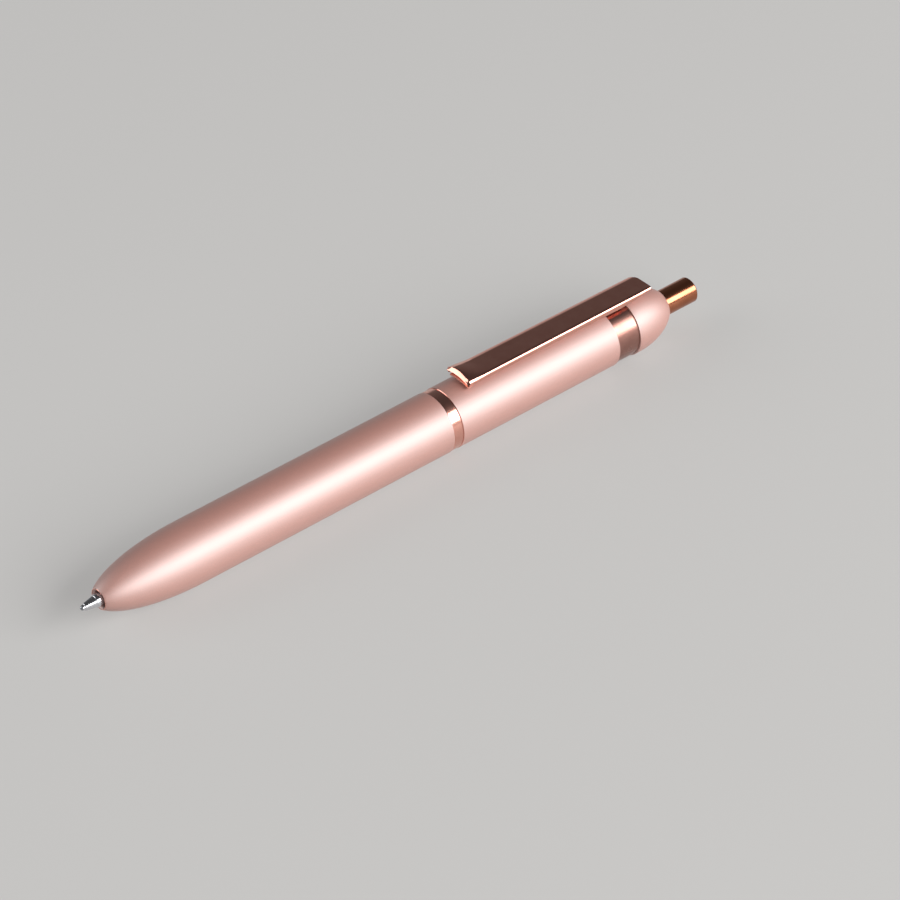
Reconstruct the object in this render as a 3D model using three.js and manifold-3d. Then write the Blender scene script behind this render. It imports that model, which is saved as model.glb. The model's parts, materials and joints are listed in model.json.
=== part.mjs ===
// Metal click ballpoint pen, in millimetres.
// The pen lies along X with its point towards -X, its button towards +X and its clip on top (+Z).
// Every piece is drawn on the pen's own axis: X is the station, the distance from the front of the ball.

import * as THREE from 'three';
import { mergeVertices } from 'three/addons/utils/BufferGeometryUtils.js';
import Module from 'manifold-3d';

const wasm = await Module();
wasm.setup();

// Fineness of the round forms
const outerSteps = 48;
const innerSteps = 24;
const noseSteps = 11;
const domeSteps = 9;
const socketSteps = 4;
const ballSteps = 8;
const weldDistance = 1e-4;

// Lengths along the pen, from the ball to the end of the button
const tipReach = 4.14;
const refillLength = 98.1;
const refillPastRing = 19.58;
const ringWidth = 2.14;
const upperBarrelLength = 37.04;
const bandWidth = 4.99;
const capLength = 9.76;
const buttonReach = 7.55;

// Outer sizes
const barrelDiameter = 11.9;
const noseLength = 19.31;
const mouthDiameter = 4.04;
const ringRecess = 0.08;
const bandRecess = 0.28;
const capSkirt = 1.0;
const capEyeDiameter = 5.84;
const edgeChamfer = 0.18;

// Clearances
const pressClearance = 0.06;
const threadClearance = 0.15;
const guideClearance = 0.15;
const runClearance = 0.22;
const seatClearance = 0.3;

// Travel of the click mechanism
const pressTravel = 1.3;
const retractTravel = 5.5;

// Refill
const refillDiameter = 5.95;
const refillTubeWall = 0.32;
const ballDiameter = 0.9;
const ballExposed = 0.3;
const socketLipWall = 0.1;
const inkChannelDiameter = 0.4;
const pointDiameter = 2.54;
const pointConeLength = 2.7;
const pointCylinderLength = 3.0;
const pointStemDiameter = 1.8;
const pointStemLength = 3.0;
const refillNoseDiameter = 2.9;
const refillNoseLength = 15.8;
const refillShoulderDiameter = 5.0;
const refillShoulderLength = 0.8;
const refillCollarLength = 1.4;
const refillSpigotLength = 4.0;
const inkAirLength = 8.0;
const plugHeadLength = 4.1;
const plugSpigotLength = 4.0;
const plugVentDiameter = 1.2;
const plugSlotWidth = 1.0;
const plugSlotDepth = 1.6;

// Return spring
const springWire = 0.4;
const springTurns = 9.5;
const springSides = 6;
const springStepsPerTurn = 12;

// Lower barrel, inside
const noseGuideLength = 6.9;
const springChamberDiameter = 5.0;
const refillBoreDiameter = 6.7;
const lowerBarrelWall = 1.05;
const boreTaperLength = 6.0;

// Threaded joint at the centre ring
const lowerBushWall = 0.65;
const lowerBushLength = 12.0;
const couplingThreadLength = 9.5;
const couplingSeatLength = 9.3;
const couplingBoreDiameter = 6.7;

// Upper barrel, band and cap, inside
const upperBarrelWall = 0.6;
const rearBushWall = 0.7;
const rearBushLength = 9.7;
const sleeveThreadLength = 8.7;
const sleeveCapLength = 5.3;
const sleeveWall = 0.55;
const capFloorGap = 0.3;

// Click mechanism
const guideWall = 0.45;
const guideFrontLength = 6.1;
const ribHeight = 0.8;
const grooveWidth = 2.4;
const finWidth = 1.6;
const finLength = 2.4;
const camTeeth = 8;
const camToothHeight = 0.8;
const camToothGap = 0.2;
const camToothStation = 7.1;
const camBoreDiameter = 2.4;
const plungerLength = 12.7;
const plungerStemDiameter = 3.0;
const plungerStemLength = 8.0;

// Button
const buttonDiameter = 4.96;
const buttonEndChamfer = 0.45;
const buttonEndWall = 7.1;
const buttonCollarDiameter = 7.2;
const buttonCollarLength = 1.4;

// Clip
const clipLength = 44.0;
const clipOverhang = 5.7;
const clipWidth = 5.4;
const clipRise = 1.4;
const clipSheet = 0.55;
const clipFoldRadius = 0.2;
const clipCornerRadius = 0.7;
const clipFlangeFront = 0.75;
const clipFlangeRear = 1.2;
const clipFlangeTaper = 6.6;
const clipFlangeEndGap = 0.8;
const clipSlit = 0.25;
const clipSlitEdge = 0.03;
const clipCornerShares = [0.35, 0.65, 0.87, 1];
const clipCrownShares = [-0.62, -0.31, 0, 0.31, 0.62];
const lipLength = 2.4;
const lipSide = 0.25;
const lipSideDepth = 1.1;
const lipArch = 0.95;
const lipArchPower = 1.5;
const lipFlare = 0.12;
const heelInset = 0.25;
const heelWidth = 3.9;
const heelLength = 0.9;
const heelSheet = 0.4;
const heelChamfer = 0.15;
const heelClearance = 0.15;
const tongueWidth = 3.0;
const tongueLength = 1.45;
const tongueReach = 0.35;
const tongueWebFront = 1.5;
const tongueWebRear = 3.8;
const tongueShoulderLift = 0.35;
const slotClearance = 0.34;

// Radii worked out from the sizes above
const barrelRadius = barrelDiameter / 2;
const mouthRadius = mouthDiameter / 2;
const ballRadius = ballDiameter / 2;
const pointRadius = pointDiameter / 2;
const refillRadius = refillDiameter / 2;
const refillBore = refillRadius - refillTubeWall;
const spigotRadius = refillBore - pressClearance;
const refillNoseRadius = refillNoseDiameter / 2;
const noseGuideRadius = refillNoseRadius + guideClearance;
const lowerBoreRadius = barrelRadius - lowerBarrelWall;
const lowerBushRadius = lowerBoreRadius - pressClearance;
const lowerThreadRadius = lowerBushRadius - lowerBushWall;
const couplingThreadRadius = lowerThreadRadius - threadClearance;
const ringRadius = barrelRadius - ringRecess;
const ringBoreRadius = couplingThreadRadius + pressClearance;
const upperBoreRadius = barrelRadius - upperBarrelWall;
const upperSeatRadius = upperBoreRadius - pressClearance;
const rearThreadRadius = upperSeatRadius - rearBushWall;
const sleeveRadius = rearThreadRadius - threadClearance;
const sleeveBoreRadius = sleeveRadius - sleeveWall;
const bandRadius = barrelRadius - bandRecess;
const bandBoreRadius = sleeveRadius + pressClearance;
const guideRadius = sleeveBoreRadius - pressClearance;
const guideBoreRadius = guideRadius - guideWall;
const ribRadius = guideBoreRadius - ribHeight;
const finRadius = guideBoreRadius - runClearance;
const camRadius = ribRadius - guideClearance;
const buttonRadius = buttonDiameter / 2;
const buttonEyeRadius = buttonRadius + runClearance;
const plungerStemRadius = plungerStemDiameter / 2;
const springRadius = refillNoseRadius + runClearance + springWire / 2;

// Stations worked out from the lengths above
const mouthStation = tipReach;
const fullStation = mouthStation + noseLength;
const ringStation = refillLength - refillPastRing;
const upperStation = ringStation + ringWidth;
const bandStation = upperStation + upperBarrelLength;
const capStation = bandStation + bandWidth;
const capEndStation = capStation + capLength;
const penLength = capEndStation + buttonReach;
const lipStation = ballExposed;
const coneEndStation = lipStation + pointConeLength;
const noseFrontStation = coneEndStation + pointCylinderLength;
const shoulderStation = noseFrontStation + refillNoseLength;
const tubeStation = shoulderStation + refillShoulderLength + refillCollarLength;
const plugStation = refillLength - plugHeadLength;
const springSeatStation = mouthStation + noseGuideLength;
const chamberEndStation = shoulderStation - pressTravel - 2 * seatClearance;
const toothStation = refillLength + camToothStation;
const buttonFrontStation = toothStation + plungerLength;
const sleeveStation = bandStation - sleeveThreadLength;
const sleeveEndStation = capStation + sleeveCapLength;
const capFloorStation = sleeveEndStation + capFloorGap;
const ribStation = toothStation + pressTravel;
const guideStation = ribStation - guideFrontLength;
const collarStation = capFloorStation - seatClearance - retractTravel - buttonCollarLength;
const guideEndStation = collarStation - pressTravel - seatClearance;
const clipEndStation = capStation + clipOverhang;
const clipStation = clipEndStation - clipLength;
const clipTop = barrelRadius + clipRise;
const clipUnderside = clipTop - clipSheet;
const tongueEndStation = capStation - slotClearance;
const tongueStation = tongueEndStation - tongueLength;

// The pen lies on a flat of its faceted round, so its axis is that much above the ground
const axisHeight = barrelRadius * Math.cos(Math.PI / outerSteps);

// Materials
const satinPaint = new THREE.MeshStandardMaterial({ color: 0xc99a8e, metalness: 0.75, roughness: 0.45 });
const polishedRose = new THREE.MeshStandardMaterial({ color: 0xc98f82, metalness: 1.0, roughness: 0.12 });
const polishedGold = new THREE.MeshStandardMaterial({ color: 0xd69a5e, metalness: 1.0, roughness: 0.14 });
const tipSteel = new THREE.MeshStandardMaterial({ color: 0xb9b4b0, metalness: 1.0, roughness: 0.25 });
const ballCarbide = new THREE.MeshStandardMaterial({ color: 0x8c8f94, metalness: 1.0, roughness: 0.1 });
const turnedBrass = new THREE.MeshStandardMaterial({ color: 0xc4a052, metalness: 1.0, roughness: 0.35 });
const springSteel = new THREE.MeshStandardMaterial({ color: 0xa8abb0, metalness: 1.0, roughness: 0.3 });
const refillSteel = new THREE.MeshStandardMaterial({ color: 0xb4b6b8, metalness: 1.0, roughness: 0.3 });
const camPlastic = new THREE.MeshStandardMaterial({ color: 0xe6e2da, metalness: 0.0, roughness: 0.5 });
const plugPlastic = new THREE.MeshStandardMaterial({ color: 0x2a2c33, metalness: 0.0, roughness: 0.5 });
const inkPaste = new THREE.MeshStandardMaterial({ color: 0x141a4a, metalness: 0.0, roughness: 0.3 });

// A closed geometry becomes a solid that can be joined and cut
function toSolid(geometry) {
  const bare = geometry.clone();
  bare.deleteAttribute('normal');
  bare.deleteAttribute('uv');
  const merged = mergeVertices(bare, weldDistance);
  const corners = merged.index.array;
  const faces = [];
  for (let i = 0; i < corners.length; i += 3) {
    const [a, b, c] = [corners[i], corners[i + 1], corners[i + 2]];
    if (a !== b && b !== c && c !== a) faces.push(a, b, c);
  }
  return new wasm.Manifold(new wasm.Mesh({
    numProp: 3,
    vertProperties: new Float32Array(merged.attributes.position.array),
    triVerts: new Uint32Array(faces),
  }));
}

function fromSolid(solid) {
  const mesh = solid.getMesh();
  const geometry = new THREE.BufferGeometry();
  geometry.setAttribute('position', new THREE.BufferAttribute(new Float32Array(mesh.vertProperties), 3));
  geometry.setIndex(new THREE.BufferAttribute(new Uint32Array(mesh.triVerts), 1));
  return geometry;
}

function joined(geometries) {
  return fromSolid(geometries.map(toSolid).reduce((sum, solid) => sum.add(solid)));
}

function cut(geometry, tools) {
  return fromSolid(tools.map(toSolid).reduce((rest, tool) => rest.subtract(tool), toSolid(geometry)));
}

// A turned piece. The profile is a list of [station, radius]: the outside from front to rear, then the
// bore from rear to front. It closes on itself, or starts and ends on the axis.
function turned(profile, steps) {
  const points = profile.map(([station, radius]) => new THREE.Vector2(radius, station));
  const onAxis = points[0].x === 0 && points.at(-1).x === 0;
  if (!onAxis) points.push(points[0].clone());
  const geometry = new THREE.LatheGeometry(points, steps, Math.PI / steps);
  return geometry.rotateZ(-Math.PI / 2);
}

// A plain tube between two stations
function tube(front, rear, outerRadius, boreRadius, steps) {
  return turned([
    [front, outerRadius],
    [rear, outerRadius],
    [rear, boreRadius],
    [front, boreRadius],
  ], steps);
}

// A block between two stations, from one height to another, centred across the pen
function block(front, rear, low, high, width) {
  const geometry = new THREE.BoxGeometry(rear - front, width, high - low);
  return geometry.translate((front + rear) / 2, 0, (low + high) / 2);
}

// A plate cut to a side outline of [station, height] points and spread across the pen between two Y values
function sidePlate(outline, left, right) {
  const shape = new THREE.Shape(outline.map(([station, height]) => new THREE.Vector2(station, height)));
  const geometry = new THREE.ExtrudeGeometry(shape, { depth: right - left, bevelEnabled: false });
  return geometry.rotateX(Math.PI / 2).translate(0, right, 0);
}

// The rounded outside of the nose and of the cap is a quarter ellipse that a hole cuts short
function ovalStretch(fullStationAt, holeStationAt, holeRadius, steps) {
  const reach = holeStationAt - fullStationAt;
  const holeAngle = Math.acos(holeRadius / barrelRadius);
  const semiLength = reach / Math.sin(holeAngle);
  const points = [];
  for (let i = 0; i <= steps; i += 1) {
    const angle = holeAngle * (1 - i / steps);
    points.push([fullStationAt + semiLength * Math.sin(angle), barrelRadius * Math.cos(angle)]);
  }
  return points;
}

// Refill
function writingBall() {
  const geometry = new THREE.SphereGeometry(ballRadius, 2 * ballSteps, ballSteps);
  return geometry.rotateZ(Math.PI / 2).translate(ballRadius, 0, 0);
}

function refillPoint() {
  const socketRadius = ballRadius + guideClearance / 2;
  const channelRadius = inkChannelDiameter / 2;
  const lipAngle = Math.acos((ballRadius - ballExposed) / socketRadius);
  const floorAngle = Math.PI - Math.asin(channelRadius / socketRadius);
  const socket = [];
  for (let i = 0; i <= socketSteps; i += 1) {
    const angle = floorAngle + (lipAngle - floorAngle) * i / socketSteps;
    socket.push([ballRadius - socketRadius * Math.cos(angle), socketRadius * Math.sin(angle)]);
  }
  const lipRadius = socket.at(-1)[1];
  const stemRadius = pointStemDiameter / 2;
  const stemEnd = noseFrontStation + pointStemLength;
  return turned([
    [lipStation, lipRadius + socketLipWall],
    [coneEndStation, pointRadius],
    [noseFrontStation, pointRadius],
    [noseFrontStation, stemRadius],
    [stemEnd, stemRadius],
    [stemEnd, channelRadius],
    ...socket,
  ], innerSteps);
}

function refillNose() {
  const stemBore = pointStemDiameter / 2 + pressClearance;
  const stemFloor = noseFrontStation + pointStemLength + pressClearance;
  const shoulderRadius = refillShoulderDiameter / 2;
  const spigotEnd = tubeStation + refillSpigotLength;
  const inkRadius = inkChannelDiameter / 2 + guideClearance;
  return turned([
    [noseFrontStation, pointRadius],
    [noseFrontStation + edgeChamfer, refillNoseRadius],
    [shoulderStation, refillNoseRadius],
    [shoulderStation, shoulderRadius],
    [shoulderStation + refillShoulderLength, refillRadius],
    [tubeStation, refillRadius],
    [tubeStation, spigotRadius],
    [spigotEnd, spigotRadius],
    [spigotEnd, inkRadius],
    [stemFloor, inkRadius],
    [stemFloor, stemBore],
    [noseFrontStation, stemBore],
  ], innerSteps);
}

function refillTube() {
  return tube(tubeStation, plugStation, refillRadius, refillBore, innerSteps);
}

function inkColumn() {
  const front = tubeStation + refillSpigotLength + pressClearance;
  const rear = plugStation - plugSpigotLength - inkAirLength;
  return turned([[front, 0], [front, spigotRadius], [rear, spigotRadius], [rear, 0]], innerSteps);
}

function refillPlug() {
  const ventRadius = plugVentDiameter / 2;
  const body = turned([
    [plugStation - plugSpigotLength, spigotRadius],
    [plugStation, spigotRadius],
    [plugStation, refillRadius],
    [refillLength, refillRadius],
    [refillLength, ventRadius],
    [plugStation - plugSpigotLength, ventRadius],
  ], innerSteps);
  const slotFloor = refillLength - plugSlotDepth;
  const beyond = refillLength + plugSlotDepth;
  const slot = block(slotFloor, beyond, -refillDiameter, refillDiameter, plugSlotWidth);
  return cut(body, [slot, slot.clone().rotateX(Math.PI / 2)]);
}

// Return spring: one wire along a helix between the nose seat and the refill's shoulder
class Helix extends THREE.Curve {
  constructor(front, rear, radius, turns) {
    super();
    Object.assign(this, { front, rear, radius, turns });
  }

  getPoint(t, target = new THREE.Vector3()) {
    const angle = 2 * Math.PI * this.turns * t;
    const station = this.front + (this.rear - this.front) * t;
    return target.set(station, this.radius * Math.cos(angle), this.radius * Math.sin(angle));
  }
}

function returnSpring() {
  const wireRadius = springWire / 2;
  const front = springSeatStation + wireRadius + pressClearance;
  const rear = shoulderStation - wireRadius - pressClearance;
  const section = new THREE.Shape();
  for (let i = 0; i < springSides; i += 1) {
    const angle = 2 * Math.PI * i / springSides;
    const place = [wireRadius * Math.cos(angle), wireRadius * Math.sin(angle)];
    if (i === 0) section.moveTo(...place);
    else section.lineTo(...place);
  }
  return new THREE.ExtrudeGeometry(section, {
    steps: Math.round(springTurns * springStepsPerTurn),
    extrudePath: new Helix(front, rear, springRadius, springTurns),
    bevelEnabled: false,
  });
}

// Lower barrel and the threaded joint
function lowerBarrel() {
  const chamberRadius = springChamberDiameter / 2;
  const refillRoom = refillBoreDiameter / 2;
  const taperStation = tubeStation;
  return turned([
    ...ovalStretch(fullStation, mouthStation, mouthRadius, noseSteps),
    [ringStation - edgeChamfer, barrelRadius],
    [ringStation, barrelRadius - edgeChamfer],
    [ringStation, lowerBoreRadius],
    [taperStation + boreTaperLength, lowerBoreRadius],
    [taperStation, refillRoom],
    [chamberEndStation, refillRoom],
    [chamberEndStation, chamberRadius],
    [springSeatStation, chamberRadius],
    [springSeatStation, noseGuideRadius],
    [mouthStation, noseGuideRadius],
  ], outerSteps);
}

function lowerThreadBush() {
  return tube(ringStation - lowerBushLength, ringStation, lowerBushRadius, lowerThreadRadius, outerSteps);
}

function centreRing() {
  return turned([
    [ringStation, ringRadius - edgeChamfer],
    [ringStation + edgeChamfer, ringRadius],
    [upperStation - edgeChamfer, ringRadius],
    [upperStation, ringRadius - edgeChamfer],
    [upperStation, ringBoreRadius],
    [ringStation, ringBoreRadius],
  ], outerSteps);
}

function couplingSleeve() {
  const front = ringStation - couplingThreadLength;
  const rear = upperStation + couplingSeatLength;
  const boreRadius = couplingBoreDiameter / 2;
  return turned([
    [front, couplingThreadRadius - edgeChamfer],
    [front + edgeChamfer, couplingThreadRadius],
    [upperStation, couplingThreadRadius],
    [upperStation, upperSeatRadius],
    [rear, upperSeatRadius],
    [rear, boreRadius],
    [front, boreRadius],
  ], outerSteps);
}

// Upper barrel, band and cap
function upperBarrel() {
  return turned([
    [upperStation, barrelRadius - edgeChamfer],
    [upperStation + edgeChamfer, barrelRadius],
    [bandStation - edgeChamfer, barrelRadius],
    [bandStation, barrelRadius - edgeChamfer],
    [bandStation, upperBoreRadius],
    [upperStation, upperBoreRadius],
  ], outerSteps);
}

function rearThreadBush() {
  return tube(bandStation - rearBushLength, bandStation, upperSeatRadius, rearThreadRadius, outerSteps);
}

function clipBand() {
  const ring = tube(bandStation, capStation, bandRadius, bandBoreRadius, outerSteps);
  const slotWidth = tongueWidth + 2 * slotClearance;
  const slotFront = tongueStation - slotClearance;
  const slot = block(slotFront, capStation + slotClearance, 0, barrelDiameter, slotWidth);
  return cut(ring, [slot]);
}

function capSleeve() {
  return tube(sleeveStation, sleeveEndStation, sleeveRadius, sleeveBoreRadius, outerSteps);
}

function cap() {
  const boreRadius = sleeveRadius + pressClearance;
  const dome = ovalStretch(capStation + capSkirt, capEndStation, capEyeDiameter / 2, domeSteps).reverse();
  return turned([
    [capStation, barrelRadius - edgeChamfer],
    [capStation + edgeChamfer, barrelRadius],
    ...dome,
    [capEndStation, buttonEyeRadius],
    [capFloorStation, buttonEyeRadius],
    [capFloorStation, boreRadius],
    [capStation, boreRadius],
  ], outerSteps);
}

// Click mechanism
// A tube with an even zigzag of teeth at one end. The wavy end is at the tooth station plus the lift.
function toothedTube(plainStation, wavyStation, outerRadius, boreRadius) {
  const steps = camTeeth * 4;
  const corners = [];
  for (let i = 0; i < steps; i += 1) {
    const angle = 2 * Math.PI * i / steps;
    const phase = (i * camTeeth / steps) % 1;
    const lift = camToothHeight * (1 - Math.abs(2 * phase - 1));
    for (const [station, radius] of [
      [plainStation, boreRadius],
      [plainStation, outerRadius],
      [wavyStation + lift, outerRadius],
      [wavyStation + lift, boreRadius],
    ]) corners.push(station, radius * Math.cos(angle), radius * Math.sin(angle));
  }
  const faces = [];
  const facesFront = wavyStation < plainStation;
  for (let i = 0; i < steps; i += 1) {
    for (let side = 0; side < 4; side += 1) {
      const here = 4 * i + side;
      const across = 4 * i + (side + 1) % 4;
      const next = 4 * ((i + 1) % steps) + side;
      const nextAcross = 4 * ((i + 1) % steps) + (side + 1) % 4;
      if (facesFront) faces.push(here, across, next, across, nextAcross, next);
      else faces.push(here, next, across, across, next, nextAcross);
    }
  }
  const geometry = new THREE.BufferGeometry();
  geometry.setAttribute('position', new THREE.Float32BufferAttribute(corners, 3));
  geometry.setIndex(faces);
  return geometry;
}

// Two crossed bars that give a round body its four fins
function finCross(front, rear) {
  const bar = block(front, rear, -finRadius, finRadius, finWidth);
  return [bar, bar.clone().rotateX(Math.PI / 2)];
}

// The fins are cut back inside the body's bore, so the bore stays open
function finned(body, front, rear, boreRadius) {
  const bore = turned([[front - finLength, 0], [front - finLength, boreRadius],
    [rear + finLength, boreRadius], [rear + finLength, 0]], innerSteps);
  const fins = cut(joined(finCross(front, rear)), [bore]);
  return joined([body, fins]);
}

function camBody() {
  const tubeBody = turned([
    [guideStation, guideRadius],
    [guideEndStation, guideRadius],
    [guideEndStation, ribRadius],
    [ribStation, ribRadius],
    [ribStation, guideBoreRadius],
    [guideStation, guideBoreRadius],
  ], innerSteps);
  const beyond = guideEndStation + ribHeight;
  const groove = block(ribStation, beyond, -guideBoreRadius, guideBoreRadius, grooveWidth);
  return cut(tubeBody, [groove, groove.clone().rotateX(Math.PI / 2)]);
}

function camRotor() {
  const boreRadius = camBoreDiameter / 2;
  const finEnd = toothStation - camToothGap - camToothHeight;
  const body = toothedTube(refillLength, finEnd, camRadius, boreRadius);
  return finned(body, finEnd - finLength, finEnd, boreRadius + guideClearance);
}

function camPlunger() {
  const boreRadius = camBoreDiameter / 2;
  const body = toothedTube(buttonFrontStation, toothStation - camToothHeight, camRadius, boreRadius);
  const finFront = ribStation + finLength;
  const finnedBody = finned(body, finFront, finFront + finLength, boreRadius + guideClearance);
  const stemStart = buttonFrontStation - pressTravel;
  const stemEnd = buttonFrontStation + plungerStemLength;
  const stem = turned([[stemStart, 0], [stemStart, plungerStemRadius], [stemEnd, plungerStemRadius],
    [stemEnd, 0]], innerSteps);
  return joined([finnedBody, stem]);
}

// Button
function pushButton() {
  const boreRadius = plungerStemRadius + pressClearance;
  const boreEnd = penLength - buttonEndWall;
  const collarRadius = buttonCollarDiameter / 2;
  return turned([
    [buttonFrontStation, buttonRadius],
    [collarStation, buttonRadius],
    [collarStation, collarRadius],
    [collarStation + buttonCollarLength, collarRadius],
    [collarStation + buttonCollarLength, buttonRadius],
    [penLength - buttonEndChamfer, buttonRadius],
    [penLength, buttonRadius - buttonEndChamfer],
    [penLength, 0],
    [boreEnd, 0],
    [boreEnd, boreRadius],
    [buttonFrontStation, boreRadius],
  ], innerSteps);
}

// Clip
// How far the sheet's edge is turned down at a station: short at the lip, none at the slit behind it and at
// the rear end, and deepest above the band
function flangeDepth(station) {
  const edgeOnly = clipSheet + clipFoldRadius;
  if (station <= clipStation + lipSide) return lipSideDepth;
  if (station < clipStation + lipSide + clipSlit) return edgeOnly;
  const rear = clipEndStation - clipFlangeEndGap;
  const deepest = rear - clipFlangeTaper;
  const front = clipStation + lipSide + clipSlit;
  if (station <= deepest) {
    return clipFlangeFront + (clipFlangeRear - clipFlangeFront) * (station - front) / (deepest - front);
  }
  const taper = Math.min(1, (station - deepest) / clipFlangeTaper);
  return clipFlangeRear + (edgeOnly - clipFlangeRear) * taper;
}

// Half the sheet's width: a little flare at the lip, and round corners at the rear end
function clipHalfWidth(station) {
  const flare = lipFlare * Math.max(0, 1 - (station - clipStation) / lipLength);
  const beyond = Math.min(clipCornerRadius, Math.max(0, station - (clipEndStation - clipCornerRadius)));
  return clipWidth / 2 + flare - (clipCornerRadius - Math.sqrt(clipCornerRadius ** 2 - beyond ** 2));
}

// The sheet's outline across the pen at a station: over the top and down the folds, then back along the
// inside, which has as many points
function clipSection(station) {
  const half = clipHalfWidth(station);
  const flangeBottom = clipTop - flangeDepth(station);
  const arch = lipArch * Math.max(0, 1 - (station - clipStation) / lipLength) ** lipArchPower;
  const crown = (y) => arch * (1 - (y / half) ** 2);
  const side = (halfWidth, level, fold) => {
    const between = clipCrownShares.map((share) => share * halfWidth);
    const flat = [fold - halfWidth, ...between, halfWidth - fold].map((y) => [y, level + crown(y)]);
    return [
      [-halfWidth, flangeBottom],
      [-halfWidth, level - fold],
      ...flat,
      [halfWidth, level - fold],
      [halfWidth, flangeBottom],
    ];
  };
  return [
    ...side(half, clipTop, clipFoldRadius),
    ...side(half - clipSheet, clipUnderside, clipFoldRadius / 2).reverse(),
  ];
}

// A closed body through a row of bent strips. Each strip's outline runs along its outside and back along
// its inside, with equal numbers of [y, height] points.
function lofted(stations, sectionAt) {
  const sections = stations.map(sectionAt);
  const around = sections[0].length;
  const corners = sections.flatMap((section, row) => (
    section.flatMap(([y, height]) => [stations[row], y, height])
  ));
  const faces = [];
  for (let row = 0; row < stations.length - 1; row += 1) {
    for (let i = 0; i < around; i += 1) {
      const a = row * around + i;
      const b = row * around + (i + 1) % around;
      faces.push(a, a + around, b, b, a + around, b + around);
    }
  }
  const lastRow = (stations.length - 1) * around;
  for (let i = 0; i < around / 2 - 1; i += 1) {
    const inside = around - 1 - i;
    faces.push(i, i + 1, inside, i + 1, inside - 1, inside);
    faces.push(lastRow + i, lastRow + inside, lastRow + i + 1);
    faces.push(lastRow + i + 1, lastRow + inside, lastRow + inside - 1);
  }
  const geometry = new THREE.BufferGeometry();
  geometry.setAttribute('position', new THREE.Float32BufferAttribute(corners, 3));
  geometry.setIndex(faces);
  return geometry;
}

function clip() {
  const slitFront = clipStation + lipSide;
  const slitRear = slitFront + clipSlit;
  const cornerStart = clipEndStation - clipCornerRadius;
  const flangeEnd = clipEndStation - clipFlangeEndGap;
  const lipEnd = clipStation + lipLength;
  const stations = [
    clipStation,
    clipStation + lipSide / 2,
    slitFront,
    slitFront + clipSlitEdge,
    slitRear - clipSlitEdge,
    slitRear,
    lipEnd,
    flangeEnd - clipFlangeTaper,
    cornerStart,
    ...clipCornerShares.map((share) => cornerStart + clipCornerRadius * share),
  ].sort((a, b) => a - b);
  const sheet = lofted(stations, clipSection);
  const rootLevel = clipUnderside + clipSheet / 2;
  const heelBottom = barrelRadius + heelClearance;
  const heelFront = clipStation + heelInset;
  const heelRear = heelFront + heelLength;
  const heelJoint = lipEnd + heelChamfer;
  const heel = sidePlate([
    [heelFront, heelBottom + heelSheet],
    [heelFront, heelBottom + heelChamfer],
    [heelFront + heelChamfer, heelBottom],
    [heelRear, heelBottom],
    [heelJoint + heelLength, clipUnderside - heelChamfer],
    [heelJoint + heelLength, rootLevel],
    [heelJoint, rootLevel],
    [heelJoint, clipUnderside - heelChamfer],
    [heelRear, heelBottom + heelSheet],
  ], -heelWidth / 2, heelWidth / 2);
  const tongueBottom = bandBoreRadius + tongueReach;
  const tongue = sidePlate([
    [tongueStation - tongueWebFront, rootLevel],
    [tongueStation, barrelRadius],
    [tongueStation, tongueBottom],
    [tongueEndStation, tongueBottom],
    [tongueEndStation, barrelRadius + tongueShoulderLift],
    [tongueEndStation + tongueWebRear, rootLevel],
  ], -tongueWidth / 2, tongueWidth / 2);
  return joined([sheet, heel, tongue]);
}

// Assembly
const pen = new THREE.Group();
pen.position.set(-penLength / 2, 0, axisHeight);

function place(name, geometry, material) {
  const mesh = new THREE.Mesh(geometry, material);
  mesh.name = name;
  pen.add(mesh);
}

place('writing_ball', writingBall(), ballCarbide);
place('refill_point', refillPoint(), tipSteel);
place('refill_nose', refillNose(), turnedBrass);
place('refill_tube', refillTube(), refillSteel);
place('ink_column', inkColumn(), inkPaste);
place('refill_plug', refillPlug(), plugPlastic);
place('return_spring', returnSpring(), springSteel);
place('lower_barrel', lowerBarrel(), satinPaint);
place('lower_thread_bush', lowerThreadBush(), turnedBrass);
place('centre_ring', centreRing(), polishedRose);
place('coupling_sleeve', couplingSleeve(), turnedBrass);
place('upper_barrel', upperBarrel(), satinPaint);
place('rear_thread_bush', rearThreadBush(), turnedBrass);
place('clip_band', clipBand(), polishedRose);
place('cap_sleeve', capSleeve(), turnedBrass);
place('cap', cap(), satinPaint);
place('clip', clip(), polishedRose);
place('cam_body', camBody(), camPlastic);
place('cam_rotor', camRotor(), camPlastic);
place('cam_plunger', camPlunger(), plugPlastic);
place('push_button', pushButton(), polishedGold);

export default pen;
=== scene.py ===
import json
import math

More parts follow.
